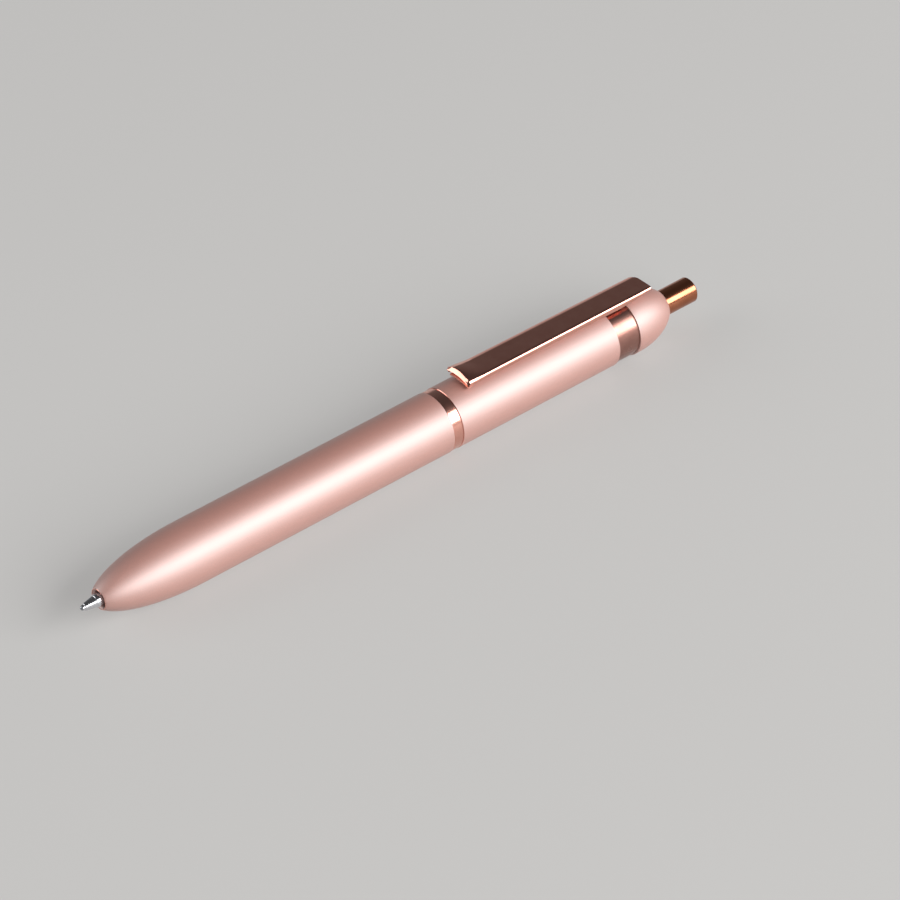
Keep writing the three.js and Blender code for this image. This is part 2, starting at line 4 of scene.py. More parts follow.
import bmesh
import bpy
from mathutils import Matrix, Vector


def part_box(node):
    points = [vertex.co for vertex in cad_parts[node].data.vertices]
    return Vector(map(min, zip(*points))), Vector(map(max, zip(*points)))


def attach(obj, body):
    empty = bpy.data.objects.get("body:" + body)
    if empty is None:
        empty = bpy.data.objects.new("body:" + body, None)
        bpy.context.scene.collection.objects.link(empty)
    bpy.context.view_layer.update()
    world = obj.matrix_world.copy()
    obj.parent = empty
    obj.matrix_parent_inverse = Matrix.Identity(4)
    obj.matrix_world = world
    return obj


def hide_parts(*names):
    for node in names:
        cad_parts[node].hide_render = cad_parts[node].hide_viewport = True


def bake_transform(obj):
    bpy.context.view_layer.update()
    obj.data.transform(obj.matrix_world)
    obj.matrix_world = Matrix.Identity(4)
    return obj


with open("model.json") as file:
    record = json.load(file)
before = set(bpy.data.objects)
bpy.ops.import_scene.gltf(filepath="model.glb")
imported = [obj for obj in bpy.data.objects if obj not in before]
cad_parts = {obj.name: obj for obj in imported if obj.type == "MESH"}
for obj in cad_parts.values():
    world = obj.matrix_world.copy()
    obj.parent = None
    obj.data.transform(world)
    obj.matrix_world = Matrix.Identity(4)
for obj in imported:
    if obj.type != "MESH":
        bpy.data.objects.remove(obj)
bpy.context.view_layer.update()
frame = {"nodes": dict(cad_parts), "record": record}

# Sizes are in millimetres, and MM turns them into Blender's metres.
# A station is the distance along the pen from the front of its ball.
MM = 0.001

# How near corners are merged, and how near to a line of corners they still count as on it
WELD = 0.001
NEAR = 0.01

# How many sides the turned pieces have
ROUND_SIDES = 128
SLIM_SIDES = 96
POINT_SIDES = 64

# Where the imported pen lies
pen_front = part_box("writing_ball")[0].x
barrel_low, barrel_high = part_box("upper_barrel")
axis_height = (barrel_low.z + barrel_high.z) / 2
barrel_radius = (barrel_high.z - barrel_low.z) / 2 / MM

# Stations
mouth = 3.86
rim_rear = mouth + 0.06
nose_end = 23.45
ring_front = 78.52
ring_rear = 80.66
edge_rear = 80.75
clip_front = 84.69
band_front = 117.70
band_rear = 122.69
clip_rear = 128.39
cap_end = 132.45
pen_end = 140.0

# Radii that several pieces share
ring_radius = 5.86
cap_bore = 4.5
thread_root = 3.74
thread_crest = 4.04


def at(station, across=0.0, height=0.0):
    """The point at a station, so far across the pen and above its axis, in metres."""
    return Vector((pen_front + station * MM, across * MM, axis_height + height * MM))


def pen_place(point):
    """A point in metres as station, distance across and height above the axis."""
    return (point.x - pen_front) / MM, point.y / MM, (point.z - axis_height) / MM


# Modelling

def deselect():
    """Leaves edit mode and selects nothing."""
    if bpy.context.object and bpy.context.object.mode != "OBJECT":
        bpy.ops.object.mode_set(mode="OBJECT")
    bpy.ops.object.select_all(action="DESELECT")


def named(name):
    """The primitive that was just added, under its own name."""
    piece = bpy.context.object
    piece.name = name
    piece.data.name = name
    return piece


def alone(piece):
    """Makes a piece the only one that is selected."""
    deselect()
    piece.select_set(True)
    bpy.context.view_layer.objects.active = piece


def settle(piece):
    """Brings the object to the origin, with its place in its mesh."""
    alone(piece)
    bpy.ops.object.transform_apply(location=True, rotation=True, scale=True)


def apply_modifier(piece, name, kind, **settings):
    """Adds a modifier with its settings and applies it."""
    modifier = piece.modifiers.new(name, kind)
    for key, value in settings.items():
        setattr(modifier, key, value)
    alone(piece)
    bpy.ops.object.modifier_apply(modifier=name)


def soften(piece, width=0, segments=2, angle=32):
    """Rounds the sharp edges, where a width is given, and gives every face clean shading."""
    settle(piece)
    if width:
        apply_modifier(piece, "edge rounding", "BEVEL", width=width * MM, segments=segments,
                       limit_method="ANGLE", angle_limit=math.radians(angle))
    alone(piece)
    bpy.ops.object.shade_smooth_by_angle(angle=math.radians(40))
    apply_modifier(piece, "even shading", "WEIGHTED_NORMAL", keep_sharp=True, weight=80)
    return piece


def extrude(along=0.0, across=0.0, up=0.0):
    """Extrudes what is selected."""
    bpy.ops.mesh.extrude_region_move(TRANSFORM_OT_translate={"value": (along * MM, across * MM, up * MM)})


def slide(along):
    """Moves what is selected along the pen."""
    bpy.ops.transform.translate(value=(along * MM, 0, 0))


def close_up():
    """Merges doubles, fills open ends and turns all faces outwards."""
    bpy.ops.mesh.select_all(action="SELECT")
    bpy.ops.mesh.remove_doubles(threshold=WELD * MM)
    bpy.ops.mesh.fill_holes(sides=0)
    bpy.ops.mesh.select_all(action="SELECT")
    bpy.ops.mesh.normals_make_consistent(inside=False)


def turned(name, outline, sides=ROUND_SIDES):
    """A lathe piece: one circle, extruded from station to station and scaled to each radius.

    An outline that comes back to its first point makes a tube, and any other gets flat ends.
    """
    deselect()
    station, radius = outline[0]
    bpy.ops.mesh.primitive_circle_add(vertices=sides, radius=radius * MM, location=at(station),
                                      rotation=(0, math.pi / 2, 0))
    piece = named(name)
    bpy.ops.object.mode_set(mode="EDIT")
    bpy.ops.mesh.select_all(action="SELECT")
    for next_station, next_radius in outline[1:]:
        extrude(next_station - station)
        growth = next_radius / radius
        bpy.ops.transform.resize(value=(1, growth, growth), center_override=at(next_station))
        station, radius = next_station, next_radius
    close_up()
    bpy.ops.object.mode_set(mode="OBJECT")
    return piece


def tube(front, rear, outer, inner):
    """The outline of a plain tube, which ends where it began."""
    return [(front, outer), (rear, outer), (rear, inner), (front, inner), (front, outer)]


def oval(start, end, hole_radius, steps):
    """A quarter ellipse from full radius at start to the hole at end, as a list of stations and radii."""
    hole_angle = math.acos(hole_radius / barrel_radius)
    reach = (end - start) / math.sin(hole_angle)
    angles = [hole_angle * i / steps for i in range(steps + 1)]
    return [(start + reach * math.sin(a), barrel_radius * math.cos(a)) for a in angles]


def coiled(name, front, rear, turns, section, steps=40):
    """A wire or a ridge: a closed section of steps along the pen and radii, screwed round the axis."""
    deselect()
    bpy.ops.mesh.primitive_circle_add(vertices=len(section), radius=MM, location=at(front))
    piece = named(name)
    bpy.ops.object.mode_set(mode="EDIT")
    mesh = bmesh.from_edit_mesh(piece.data)
    for corner, (along, radius) in zip(mesh.verts, section):
        corner.co = Vector((along * MM, 0, radius * MM))
    bmesh.update_edit_mesh(piece.data)
    bpy.ops.object.mode_set(mode="OBJECT")
    count = round(turns * steps)
    apply_modifier(piece, "coil", "SCREW", axis="X", angle=2 * math.pi * turns, iterations=1,
                   screw_offset=(rear - front) * MM, steps=count, render_steps=count)
    bpy.ops.object.mode_set(mode="EDIT")
    close_up()
    bpy.ops.object.mode_set(mode="OBJECT")
    return piece


def block(name, front, rear, low, high, width):
    """A box between two stations and two heights, in the middle of the pen."""
    deselect()
    middle = at((front + rear) / 2, 0, (low + high) / 2)
    bpy.ops.mesh.primitive_cube_add(size=MM, location=middle, scale=(rear - front, width, high - low))
    piece = named(name)
    settle(piece)
    return piece


def cut_out(piece, cutter):
    """Cuts another piece out of a piece and removes it."""
    apply_modifier(piece, "cut", "BOOLEAN", object=cutter, operation="DIFFERENCE", solver="EXACT")
    alone(cutter)
    bpy.ops.object.delete()


def pick(piece, kind, test):
    """Selects the verts, edges or faces whose corners all pass a test of station, across and height.

    The piece is being edited and has been settled.
    """
    bpy.ops.mesh.select_mode(type={"verts": "VERT", "edges": "EDGE", "faces": "FACE"}[kind])
    bpy.ops.mesh.select_all(action="DESELECT")
    mesh = bmesh.from_edit_mesh(piece.data)
    inside = {corner for corner in mesh.verts if test(*pen_place(corner.co))}
    for element in getattr(mesh, kind):
        corners = [element] if kind == "verts" else element.verts
        if all(corner in inside for corner in corners):
            element.select_set(True)
    mesh.select_flush_mode()
    bmesh.update_edit_mesh(piece.data)


def cut_lines(direction, values):
    """Cuts the piece being edited by planes: along the pen at stations, or across it at Y values."""
    for value in values:
        bpy.ops.mesh.select_all(action="SELECT")
        point = at(value) if direction == "station" else at(0, value)
        normal = (1, 0, 0) if direction == "station" else (0, 1, 0)
        bpy.ops.mesh.bisect(plane_co=point, plane_no=normal)


def reshape(piece, rule):
    """Moves each corner of the piece being edited to where a rule puts its place on the pen."""
    mesh = bmesh.from_edit_mesh(piece.data)
    for corner in mesh.verts:
        corner.co = at(*rule(*pen_place(corner.co)))
    bmesh.update_edit_mesh(piece.data)


# Materials

def colour(red, green, blue):
    """A colour as it is seen, from 0 to 255, in the units of the shader."""
    return tuple((c / 255) ** 2.2 for c in (red, green, blue)) + (1.0,)


class Value:
    """The output of a node, which takes part in plain sums and products."""

    def __init__(self, maker, socket):
        self.maker = maker
        self.socket = socket

    def reckon(self, operation, other):
        return self.maker.node("ShaderNodeMath", {"operation": operation}, {0: self, 1: other})

    def __add__(self, other):
        return self.reckon("ADD", other)

    def __mul__(self, other):
        return self.reckon("MULTIPLY", other)

    __radd__ = __add__
    __rmul__ = __mul__


class Nodes:
    """A node tree in the making, of a material or of the world."""

    def __init__(self, tree):
        self.tree = tree

    def put(self, socket, value):
        """Links a value to a socket, or sets the socket to a plain number, colour or vector."""
        if isinstance(value, Value):
            self.tree.links.new(value.socket, socket)
        else:
            socket.default_value = value

    def node(self, kind, settings=None, sockets=None, output=0):
        """Adds a node, first with its settings and then with its sockets, and gives one of its outputs."""
        made = self.tree.nodes.new(kind)
        for key, value in (settings or {}).items():
            if key == "stops":
                self.set_stops(made.color_ramp, value)
            else:
                setattr(made, key, value)
        for key, value in (sockets or {}).items():
            self.put(made.inputs[key], value)
        return Value(self, made.outputs[output])

    @staticmethod
    def set_stops(ramp, stops):
        while len(ramp.elements) < len(stops):
            ramp.elements.new(0.5)
        for element, (position, tint) in zip(ramp.elements, stops):
            element.position = position
            element.color = tint


class Finish(Nodes):
    """A material in the making: its nodes, and the shader that they feed."""

    def __init__(self, name, **sockets):
        self.material = bpy.data.materials.new(name)
        self.material.use_nodes = True
        super().__init__(self.material.node_tree)
        self.shader = self.tree.nodes["Principled BSDF"]
        for key, value in sockets.items():
            self.feed(key.replace("_", " ").title().replace("Ior", "IOR"), value)

    def feed(self, socket, value):
        self.put(self.shader.inputs[socket], value)

    def place(self, stretch=(1, 1, 1)):
        """Where a point is on the pen, in millimetres, with each direction stretched."""
        coordinates = self.node("ShaderNodeTexCoord", output="Object")
        scale = tuple(1 / MM * s for s in stretch)
        return self.node("ShaderNodeMapping", {"vector_type": "POINT"},
                         {"Vector": coordinates, "Scale": scale})

    def noise(self, place, scale, detail, roughness=0.5):
        """Noise over places in millimetres, finer with a larger scale."""
        return self.node("ShaderNodeTexNoise", {}, {"Vector": place, "Scale": scale, "Detail": detail,
                                                    "Roughness": roughness})

    def blend(self, share, first, second):
        """A mix of two colours, with this share of the second."""
        return self.node("ShaderNodeMix", {"data_type": "RGBA"}, {0: share, 6: first, 7: second}, output=2)

    def within(self, value, low, high):
        """A value spread from 0 at low to 1 at high."""
        return self.node("ShaderNodeMapRange", {"clamp": True}, {0: value, 1: low, 2: high})

    def bump(self, height, depth, strength):
        """Gives the surface relief, its depth in millimetres."""
        normal = self.node("ShaderNodeBump", {}, {"Height": height, "Distance": depth * MM,
                                                  "Strength": strength})
        self.feed("Normal", normal)


def satin_lacquer():
    """Pearl lacquer: metal flakes below a frosted clear coat, with a fine grain."""
    finish = Finish("satin rose lacquer", ior=2.45, coat_weight=1.0, coat_roughness=0.58, coat_ior=2.3)
    place = finish.place()
    flake = finish.noise(place, scale=7.0, detail=1.0)
    cloud = finish.noise(place, scale=0.11, detail=3.0)
    sparkle = finish.within(flake, 0.35, 0.68)
    base = finish.blend(sparkle, colour(158, 98, 82), colour(177, 113, 97))
    worn = finish.within(cloud, 0.3, 0.7) * 0.25
    finish.feed("Base Color", finish.blend(worn, base, colour(167, 103, 86)))
    finish.feed("Metallic", 0.06 + sparkle * 0.06)
    finish.feed("Roughness", 0.57 + sparkle * 0.05)
    finish.bump(flake, depth=0.005, strength=0.5)
    return finish.material


def polished_plating(name, pale, deep, roughness=0.07):
    """Plated metal with faint smears and hairlines along the pen."""
    finish = Finish(name, metallic=1.0)
    place = finish.place()
    smear = finish.noise(place, scale=0.35, detail=4.0, roughness=0.6)
    hairline = finish.noise(finish.place((0.4, 9, 9)), scale=1.6, detail=2.0)
    finish.feed("Base Color", finish.blend(finish.within(smear, 0.3, 0.7), colour(*pale), colour(*deep)))
    finish.feed("Roughness", roughness + finish.within(smear, 0.4, 0.75) * 0.05)
    finish.bump(hairline, depth=0.0006, strength=0.5)
    return finish.material


def machined(name, pale, deep, roughness, groove_scale=5.0, groove_depth=0.003):
    """Turned metal: fine rings round the pen, from the tool."""
    finish = Finish(name, metallic=1.0)
    groove = finish.noise(finish.place((groove_scale, 0.05, 0.05)), scale=2.5, detail=3.0)
    smear = finish.noise(finish.place(), scale=0.6, detail=3.0)
    finish.feed("Base Color", finish.blend(groove, colour(*pale), colour(*deep)))
    finish.feed("Roughness", roughness + smear * 0.08)
    finish.bump(groove, depth=groove_depth, strength=0.6)
    return finish.material


def moulded(name, tint, shade):
    """Moulded plastic with a soft grain."""
    finish = Finish(name, metallic=0.0, ior=1.49)
    place = finish.place()
    grain = finish.noise(place, scale=9.0, detail=2.0)
    cloud = finish.noise(place, scale=0.4, detail=3.0)
    finish.feed("Base Color", finish.blend(cloud, colour(*tint), colour(*shade)))
    finish.feed("Roughness", 0.42 + grain * 0.12)
    finish.bump(grain, depth=0.004, strength=0.4)
    return finish.material


def thick_ink():
    """Ink paste, in streaks along the tube."""
    finish = Finish("ink paste", metallic=0.0, coat_weight=0.3)
    streak = finish.noise(finish.place((0.2, 1, 1)), scale=1.2, detail=3.0)
    finish.feed("Base Color", finish.blend(streak, colour(22, 28, 82), colour(12, 15, 48)))
    finish.feed("Roughness", 0.2 + streak * 0.1)
    return finish.material


# One finish for each material slot, and for the band, which has the ring's slot, a rougher copy of the
# ring's plating whose darker colour is painted shade
finishes = {
    "satin_paint": satin_lacquer(),
    "polished_rose": polished_plating("polished rose plating", (230, 170, 154), (222, 158, 142), 0.17),
    "polished_clip": polished_plating("polished rose clip plating", (232, 168, 151), (222, 156, 139)),
    "polished_gold": polished_plating("polished gold plating", (178, 114, 86), (162, 101, 75), 0.17),
    "tip_steel": machined("turned nickel silver", (217, 217, 220), (198, 198, 203), 0.14),
    "ball_carbide": machined("ground carbide", (150, 152, 156), (140, 142, 147), 0.08,
                             groove_scale=1.0, groove_depth=0.0005),
    "turned_brass": machined("turned brass", (214, 180, 105), (200, 164, 88), 0.24),
    "spring_steel": machined("drawn spring wire", (186, 188, 192), (170, 172, 178), 0.22, groove_scale=2.0),
    "refill_steel": machined("drawn refill tube", (196, 197, 199), (184, 185, 188), 0.24, groove_scale=0.3),
    "cam_plastic": moulded("natural cam plastic", (234, 231, 221), (224, 220, 208)),
    "dark_plastic": moulded("dark cam plastic", (44, 46, 54), (36, 38, 45)),
    "ink_paste": thick_ink(),
}
# The band's copy of the ring's plating: rougher, and darker in colour as painted shade
shaded_band_plating = polished_plating("rose band plating with painted shade", (164, 122, 112), (150, 109, 99), 0.27)


def dress(piece, finish):
    """Gives a piece this finish and no other."""
    piece.data.materials.clear()
    piece.data.materials.append(finish)


def fit(piece, body, slot, *stands_for, finish=None):
    """Gives a piece its finish, its body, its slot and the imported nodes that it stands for."""
    dress(piece, finish or finishes[slot])
    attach(piece, body)
    if stands_for:
        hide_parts(*stands_for)


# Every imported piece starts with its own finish
for row in frame["record"]["subparts"]:
    dress(frame["nodes"][row["node"]], finishes[row["material_slot"]])


# Lower barrel

def make_lower_barrel():
    """The satin tube with the rounded nose, and its stepped bore from the thread to the mouth."""
    guide_bore, spring_bore, refill_bore, thread_bore = 1.58, 2.5, 3.35, 4.9
    guide_end, spring_end, taper_front, taper_rear = 11.04, 19.9, 24.0, 30.0
    nose = oval(nose_end, rim_rear, hole_radius=2.06, steps=36)[::-1]
    outline = nose + [
        (ring_front, barrel_radius),
        (ring_front, thread_bore),
        (taper_rear, thread_bore),
        (taper_front, refill_bore),
        (spring_end, refill_bore),
        (spring_end, spring_bore),
        (guide_end, spring_bore),
        (guide_end, guide_bore),
        (mouth + 0.4, guide_bore),
        (mouth + 0.03, 1.92),
        (rim_rear, 1.93),
        nose[0],
    ]
    piece = soften(turned("satin_lower_barrel", outline), width=0.03)
    fit(piece, "lower_pen", "satin_paint", "lower_barrel")


def make_mouth_edge():
    """The bare metal rim round the mouth, with its front edge rounded."""
    outer, inner = 2.05, 1.9
    outline = [
        (rim_rear, outer),
        (mouth + 0.01, 2.015),
        (mouth, 1.97),
        (mouth, 1.92),
        (rim_rear, inner),
        (rim_rear, outer),
    ]
    piece = soften(turned("bright_mouth_edge", outline, SLIM_SIDES))
    fit(piece, "lower_pen", "polished_rose")


# Upper barrel and rings

def make_barrel_edge():
    """The bare metal edge at the front of the upper barrel."""
    inner = 5.7
    outline = [
        (ring_rear, ring_radius),
        (edge_rear, barrel_radius),
        (edge_rear, inner),
        (ring_rear, inner),
        (ring_rear, ring_radius),
    ]
    piece = soften(turned("bright_barrel_edge", outline))
    fit(piece, "upper_pen", "polished_rose")


def make_centre_ring():
    outline = tube(ring_front, ring_rear, outer=ring_radius, inner=4.1)
    piece = soften(turned("polished_centre_ring", outline), width=0.12, segments=3)
    fit(piece, "upper_pen", "polished_rose", "centre_ring")


def make_upper_barrel():
    outline = tube(edge_rear, band_front, outer=barrel_radius, inner=5.35)
    piece = soften(turned("satin_upper_barrel", outline), width=0.04)
    fit(piece, "upper_pen", "satin_paint", "upper_barrel")


def make_band():
    """The band with the slot for the clip's root."""
    ring = turned("polished_clip_band", tube(band_front, band_rear, outer=5.66, inner=cap_bore))
    settle(ring)
    cut_out(ring, block("slot", front=120.56, rear=123.2, low=3.0, high=7.0, width=3.68))
    piece = soften(ring, width=0.05)
    # The band takes the rougher copy of the ring's plating, whose darker colour is painted shade
    fit(piece, "upper_pen", "polished_rose", "clip_band", finish=shaded_band_plating)


def make_cap():
    """The satin dome, with the round hole that the button comes through."""
    skirt, hole, roof = 1.0, 2.7, 128.29
    dome = oval(band_rear + skirt, cap_end, hole_radius=2.92, steps=24)
    outline = [(band_rear, barrel_radius)] + dome + [
        (cap_end, hole),
        (roof, hole),
        (roof, cap_bore),
        (band_rear, cap_bore),
        (band_rear, barrel_radius),
    ]
    piece = soften(turned("satin_cap", outline), width=0.1)
    fit(piece, "upper_pen", "satin_paint", "cap")


def make_button():
    """The button: a bevelled shank with a collar that stops it in the cap, bored from the front."""
    bore, shank, collar, end = 1.56, 2.48, 3.6, 2.04
    bore_end, front, collar_front, collar_rear = 132.9, 117.9, 121.09, 122.49
    bevel = 0.42
    outline = [
        (bore_end, bore),
        (front, bore),
        (front, shank),
        (collar_front, shank),
        (collar_front, collar),
        (collar_rear, collar),
        (collar_rear, shank),
        (pen_end - bevel, shank),
        (pen_end, end),
    ]
    piece = soften(turned("polished_button", outline, SLIM_SIDES), width=0.06, angle=24)
    fit(piece, "click_button", "polished_gold", "push_button")


# Writing point

def make_point():
    """The cone with the ball's socket and its collar, the cylinder behind it and the stem."""
    channel, stem = 0.2, 0.9
    seat_rear, lip_front = 1.2, 0.32
    cone_rear, cylinder_front, cylinder_rear, stem_rear = 2.95, 3.0, 6.0, 9.0
    outline = [
        (seat_rear, channel),
        (0.66, 0.47),
        (lip_front, 0.43),
        (lip_front, 0.49),
        (0.74, 0.54),
        (0.8, 0.68),
        (cone_rear, 1.1),
        (cylinder_front, 1.2),
        (cylinder_rear, 1.24),
        (cylinder_rear, stem),
        (stem_rear, stem),
        (stem_rear, channel),
        (seat_rear, channel),
    ]
    piece = soften(turned("turned_writing_point", outline, POINT_SIDES), width=0.02, angle=24)
    fit(piece, "refill", "tip_steel", "refill_point")


def make_ball():
    """The writing ball, whose poles lie along the pen."""
    deselect()
    radius = 0.45
    bpy.ops.mesh.primitive_uv_sphere_add(segments=40, ring_count=20, radius=radius * MM, location=at(radius),
                                         rotation=(0, math.pi / 2, 0))
    piece = soften(named("ground_writing_ball"))
    fit(piece, "ball", "ball_carbide", "writing_ball")


# Inner pieces

def make_coupling():
    """The brass sleeve at the centre ring, which the lower barrel is screwed to."""
    front, chamfer_rear, thread_rear, seat_front, rear = 69.02, 69.2, 77.4, 77.6, 89.96
    bore, chamfer_radius, seat_radius = 3.35, 3.6, 5.29
    outline = [
        (front, chamfer_radius),
        (chamfer_rear, thread_root),
        (thread_rear, thread_root),
        (seat_front, thread_crest),
        (ring_rear, thread_crest),
        (ring_rear, seat_radius),
        (rear, seat_radius),
        (rear, bore),
        (front, bore),
        (front, chamfer_radius),
    ]
    piece = soften(turned("threaded_coupling", outline), width=0.04)
    fit(piece, "upper_pen", "turned_brass", "coupling_sleeve")


def make_coupling_thread():
    """The ridge of the thread that the lower barrel turns on."""
    half_foot, half_crest, sunk = 0.3, 0.07, 0.05
    ridge = [
        (-half_foot, thread_root - sunk),
        (-half_crest, thread_crest),
        (half_crest, thread_crest),
        (half_foot, thread_root - sunk),
    ]
    piece = soften(coiled("coupling_thread", front=69.7, rear=76.9, turns=9, section=ridge, steps=64))
    fit(piece, "upper_pen", "turned_brass")


def make_spring():
    """The spring, which the refill's shoulder presses together as it moves; here it is wound once between
    the ends of the imported spring and given no body, so it keeps its length.
    """
    wire, turns, sides = 0.2, 9.5, 12
    low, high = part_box("return_spring")
    front, rear = pen_place(low)[0] + wire, pen_place(high)[0] - wire
    middle = (high.z - low.z) / 2 / MM - wire
    angles = [2 * math.pi * i / sides for i in range(sides)]
    section = [(wire * math.cos(a), middle + wire * math.sin(a)) for a in angles]
    piece = soften(coiled("wound_return_spring", front, rear, turns, section))
    dress(piece, finishes["spring_steel"])
    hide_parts("return_spring")
    at(front)
    at(rear)
    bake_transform(piece)


# Clip

# The top of its sheet above the pen's axis, its thickness, and half its width when flat
clip_top = 7.35
clip_sheet = 0.55
half_clip = 2.7
# The radii of its rear corners
far_corner, near_corner = 1.5, 0.6
# The slits between the lip and the folded sides, and where those sides end
slit_front = clip_front + 0.36
slit_rear = clip_front + 0.5
slit_inner = 2.35
flange_end = 126.8
# The lip's arch: its highest station, where it ends, and its rise, lift and tilt towards the far side
lip_crest = clip_front + 0.9
lip_end = 90.0
lip_rise, lip_lift, lip_tilt = 0.56, 0.1, 0.3
# The lip's front edge, which rolls over and then runs down straight, and spreads to both sides
roll_radius, roll_turn = 0.45, math.radians(45)
far_flare, near_flare = 0.45, 0.2
# Each side's fold, as arcs: the share of the strip that is folded, the radius and the turn
fold_start = 2.05
near_fold = [(1.0, 0.65, math.radians(80))]
far_fold = [(0.23, 0.5, math.radians(17)), (0.43, 17, math.radians(3)), (0.34, 0.4, math.radians(58))]
# Below the fold: a short start that leans out a little, then more than the flange needs, to be trimmed
flange_start, flange_lean = 0.11, 0.01
flange_spare = 2
# Where the flat sheet gets its lines, from its front edge, from the ball and from its middle
lip_steps = (0.12, 0.24, 0.36, 0.5, 0.58, 0.66, 0.74, 0.82, 0.9, 1.0, 1.25, 1.6, 2.0, 2.5, 3.0, 3.6, 4.4)
plate_stations = [lip_end, 95, 104, 113, 121, 124.5, 126, flange_end]
sheet_columns = (0.5, 1.0, 1.45, 1.8, fold_start, 2.2, slit_inner, 2.48, 2.6)
# Corners of the flat sheet that are nearer than this are merged
narrowest_step = 0.03


def share_between(value, low, high):
    """How far a value is from low to high, as a share from 0 to 1."""
    return min(1.0, max(0.0, (value - low) / (high - low)))


def flange_bottom(station):
    """How high the lower edge of the folded side is."""
    shallow, deep, short, deepest = 0.92, 1.2, 0.76, 121.0
    if station <= deepest:
        return clip_top - shallow - (deep - shallow) * (station - slit_rear) / (deepest - slit_rear)
    return clip_top - deep - (short - deep) * (station - deepest) / (flange_end - deepest)


def lip_height(station, across):
    """The lip's arch, which rolls over at the crest and runs straight down ahead of the slit."""
    narrowing, free_middle = 0.25, 0.4
    rise = share_between(lip_end - station, 0, lip_end - lip_crest)
    folding = share_between(station, slit_front, slit_rear)
    spread = max(0.0, 1 - (across / (half_clip - narrowing * folding)) ** 2)
    raised = lip_rise * spread + lip_lift + lip_tilt * across / half_clip
    arch = raised * rise * rise * (3 - 2 * rise)
    ahead = max(0.0, lip_crest - station)
    rolled = min(ahead, roll_radius * math.sin(roll_turn))
    level = math.sqrt(roll_radius ** 2 - rolled ** 2)
    fall = roll_radius - level + (ahead - rolled) * math.tan(roll_turn)
    held = folding * share_between(abs(across), free_middle, fold_start) ** 2
    return clip_top + arch - fall * (1 - held)


def lip_flare(station, across):
    """How far the lip spreads sideways, most at its front corners."""
    share = share_between(lip_crest - station, 0, lip_crest - clip_front)
    return (far_flare if across > 0 else near_flare) * share ** 1.3 * abs(across / half_clip) ** 3


def far_growth(station):
    """How much wider the far side is, which narrows towards the rear."""
    growth, narrowing, measured_at = 0.25, 0.0115, 86
    return growth - narrowing * (station - measured_at)


def fold_path(share, arcs):
    """How far outwards and down a share of the folded strip is."""
    out = down = heading = 0.0
    for part, radius, turn in arcs:
        bent = heading + turn * min(1.0, share / part)
        out += radius * (math.sin(bent) - math.sin(heading))
        down += radius * (math.cos(heading) - math.cos(bent))
        if share <= part:
            break
        share -= part
        heading = bent
    return out, down


def pressed(station, across, height):
    """Where a corner of the flat sheet goes when the lip is arched and the sides are folded.

    All corners of the flat sheet are at one height, so that has no part in it.
    """
    side = math.copysign(1, across)
    folding = share_between(station, slit_front, slit_rear)
    flat = min(abs(across), fold_start)
    share = (abs(across) - flat) / (half_clip - fold_start)
    out, down = fold_path(share, far_fold if across > 0 else near_fold)
    width = folding * (flat + out) + (1 - folding) * abs(across) + lip_flare(station, across)
    if across > 0:
        width += far_growth(station) * flat / fold_start
    return station, side * width, lip_height(station, across) - folding * down


def trimmed(station, across, height):
    """Brings the ends of the spare flanges, and no other corner, up to the lower edge."""
    above_ends = clip_top - 1.5
    return station, across, flange_bottom(station) if height < above_ends else height


def flat_sheet(name):
    """The clip's sheet before it is pressed, with round rear corners and all its lines, in edit mode."""
    length = clip_rear - clip_front
    deselect()
    bpy.ops.mesh.primitive_plane_add(size=MM, location=at(clip_front + length / 2, 0, clip_top))
    piece = named(name)
    piece.scale = (length, 2 * half_clip, 1)
    settle(piece)
    bpy.ops.object.mode_set(mode="EDIT")
    for side, radius in ((1, far_corner), (-1, near_corner)):
        pick(piece, "verts", lambda u, y, h: u > clip_rear - NEAR and side * y > half_clip - NEAR)
        bpy.ops.mesh.bevel(offset=radius * MM, segments=6, affect="VERTICES")
    cut_lines("station", [clip_front + step for step in lip_steps] + plate_stations)
    cut_lines("across", [0] + [side * y for y in sheet_columns for side in (1, -1)])
    bpy.ops.mesh.select_all(action="SELECT")
    bpy.ops.mesh.remove_doubles(threshold=narrowest_step * MM)
    return piece


def cut_slits(piece):
    """Takes out the faces between the lip and the folded sides."""
    pick(piece, "faces", lambda u, y, h: slit_front - NEAR < u < slit_rear + NEAR
         and abs(y) > slit_inner - NEAR)
    bpy.ops.mesh.delete(type="FACE")


def add_flanges(piece):
    """Draws the folded sides down and trims them to their lower edge."""
    for side in (1, -1):
        pick(piece, "edges", lambda u, y, h: slit_rear - NEAR < u < flange_end + NEAR
             and side * y > abs(pressed(u, side * half_clip, h)[1]) - NEAR)
        extrude(across=side * flange_lean, up=-flange_start)
        extrude(up=-flange_spare)
    reshape(piece, trimmed)


def face_up(piece):
    """Merges doubles and turns the sheet's faces so that its upper side is the outer one."""
    bpy.ops.mesh.select_all(action="SELECT")
    bpy.ops.mesh.remove_doubles(threshold=WELD * MM)
    bpy.ops.mesh.normals_make_consistent(inside=False)
    widest = max(bmesh.from_edit_mesh(piece.data).faces, key=lambda face: face.calc_area())
    if widest.normal.z < 0:
        bpy.ops.mesh.flip_normals()


def make_clip():
    """The pressed clip: a flat sheet that is slit, arched and folded, and then gets its thickness."""
    piece = flat_sheet("pressed_clip")
    cut_slits(piece)
    reshape(piece, pressed)
    add_flanges(piece)
    face_up(piece)
    bpy.ops.object.mode_set(mode="OBJECT")
    apply_modifier(piece, "sheet", "SOLIDIFY", thickness=clip_sheet * MM, offset=-1)
    soften(piece, width=0.08, segments=3, angle=38)
    fit(piece, "clip", "polished_clip", "clip")


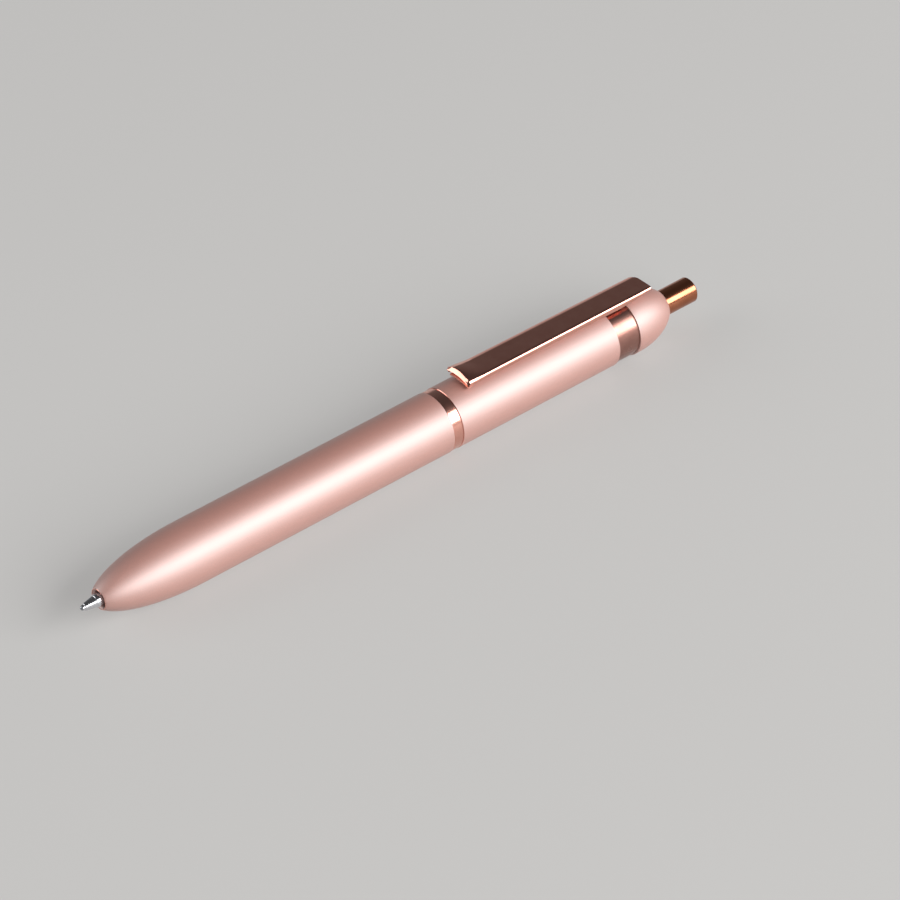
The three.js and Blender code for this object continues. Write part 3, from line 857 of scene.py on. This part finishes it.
def make_lip_bar():
    """The strip below the lip, a flatter arch, bent back up to the sheet."""
    front, rear, low, high, half_strip = 84.62, 85.5, 6.12, 6.46, 2.5
    arch, tilt = 0.32, 0.2
    bend_length, bend_rise, end_length = 1.8, 0.6, 0.6
    piece = block("clip_lip_bar", front, rear, low, high, width=2 * half_strip)
    bpy.ops.object.mode_set(mode="EDIT")
    pick(piece, "faces", lambda u, y, h: u > rear - NEAR)
    extrude(along=bend_length, up=bend_rise)
    extrude(along=end_length)
    cut_lines("across", [-2.1, -1.6, -1.1, -0.55, 0, 0.55, 1.1, 1.6, 2.1])
    reshape(piece, lambda u, y, h: (u, y, h + arch * (1 - (y / half_strip) ** 2) + tilt * y / half_strip))
    bpy.ops.object.mode_set(mode="OBJECT")
    soften(piece, width=0.08, angle=24)
    fit(piece, "clip", "polished_clip")


def make_clip_root():
    """The web that joins the sheet to the band, narrow below and spread above."""
    front, rear, low, high, width = 120.9, 122.35, 4.85, 6.0, 3.0
    top, front_spread, rear_spread = 7.07, 1.5, 3.8
    piece = block("clip_root", front, rear, low, high, width)
    bpy.ops.object.mode_set(mode="EDIT")
    pick(piece, "faces", lambda u, y, h: h > high - NEAR)
    extrude(up=top - high)
    pick(piece, "verts", lambda u, y, h: h > top - NEAR and u < front + NEAR)
    slide(-front_spread)
    pick(piece, "verts", lambda u, y, h: h > top - NEAR and u > rear - NEAR)
    slide(rear_spread)
    bpy.ops.object.mode_set(mode="OBJECT")
    soften(piece, width=0.08, angle=24)
    fit(piece, "clip", "polished_clip")


make_lower_barrel()
make_mouth_edge()
make_barrel_edge()
make_centre_ring()
make_upper_barrel()
make_band()
make_cap()
make_button()
make_point()
make_ball()
make_coupling()
make_coupling_thread()
make_spring()
make_clip()
make_lip_bar()
make_clip_root()


# Floor, light and camera, whose places and sizes are in metres

def make_floor():
    """The pale floor. Its glow is only for rays from the camera, glossy rays and rays through glass."""
    deselect()
    bpy.ops.mesh.primitive_plane_add(size=8.0, location=(0, 0, 0))
    floor = named("floor")
    finish = Finish("pale floor", metallic=0.0, roughness=0.7, emission_strength=1.0)
    cloud = finish.noise(finish.place(), scale=0.004, detail=2.0)
    finish.feed("Base Color", finish.blend(cloud, colour(137, 136, 134), colour(132, 131, 129)))
    camera_ray, glossy_ray, glass_ray = [finish.node("ShaderNodeLightPath", output=name) for name in
                                         ("Is Camera Ray", "Is Glossy Ray", "Is Transmission Ray")]
    glow = finish.blend(camera_ray + glossy_ray + glass_ray, colour(0, 0, 0), colour(151, 150, 149))
    finish.feed("Emission Color", glow)
    dress(floor, finish.material)


def softbox(name, direction, distance, width, height, power):
    """A rectangular lamp, so far from the pen in a direction, that faces it."""
    light = bpy.data.lights.new(name, "AREA")
    light.shape = "RECTANGLE"
    light.size, light.size_y = width, height
    light.energy = power
    lamp = bpy.data.objects.new(name, light)
    bpy.context.scene.collection.objects.link(lamp)
    outwards = Vector(direction).normalized()
    lamp.location = outwards * distance
    lamp.rotation_euler = outwards.to_track_quat("Z", "Y").to_euler()


def make_lamps():
    softbox("key softbox", (0.33, -0.82, 0.45), distance=1.3, width=1.8, height=0.7, power=33)
    softbox("back softbox", (-0.66, 0.58, 0.43), distance=1.3, width=1.1, height=0.9, power=8)


def make_world():
    """A grey surround, brightest at the horizon, whose level changes with height."""
    world = bpy.data.worlds.new("studio")
    bpy.context.scene.world = world
    world.use_nodes = True
    nodes = Nodes(world.node_tree)
    direction = nodes.node("ShaderNodeTexCoord", output="Generated")
    height = nodes.node("ShaderNodeSeparateXYZ", {}, {0: direction}, output="Z")
    levels = [(0.0, 215), (0.06, 195), (0.22, 108), (0.62, 97), (0.86, 80), (1.0, 76)]
    stops = [(up, colour(level, level, level + 1)) for up, level in levels]
    sky = nodes.node("ShaderNodeValToRGB", {"stops": stops}, {0: height})
    background = world.node_tree.nodes["Background"]
    nodes.put(background.inputs["Color"], sky)
    nodes.put(background.inputs["Strength"], 1.0)


def make_camera():
    """A long lens, with the place and the turn that fit the pen's outlines in the photograph."""
    camera = bpy.data.objects.new("camera", bpy.data.cameras.new("camera"))
    bpy.context.scene.collection.objects.link(camera)
    camera.data.lens = 200
    camera.data.sensor_width = 36
    camera.data.clip_start, camera.data.clip_end = 0.05, 30
    camera.location = (-0.429766, -0.571652, 0.539012)
    camera.rotation_euler = [math.radians(angle) for angle in (53.1420, 2.4615, -39.5316)]
    bpy.context.scene.camera = camera


make_floor()
make_lamps()
make_world()
make_camera()
bpy.context.scene.view_settings.view_transform = "Standard"
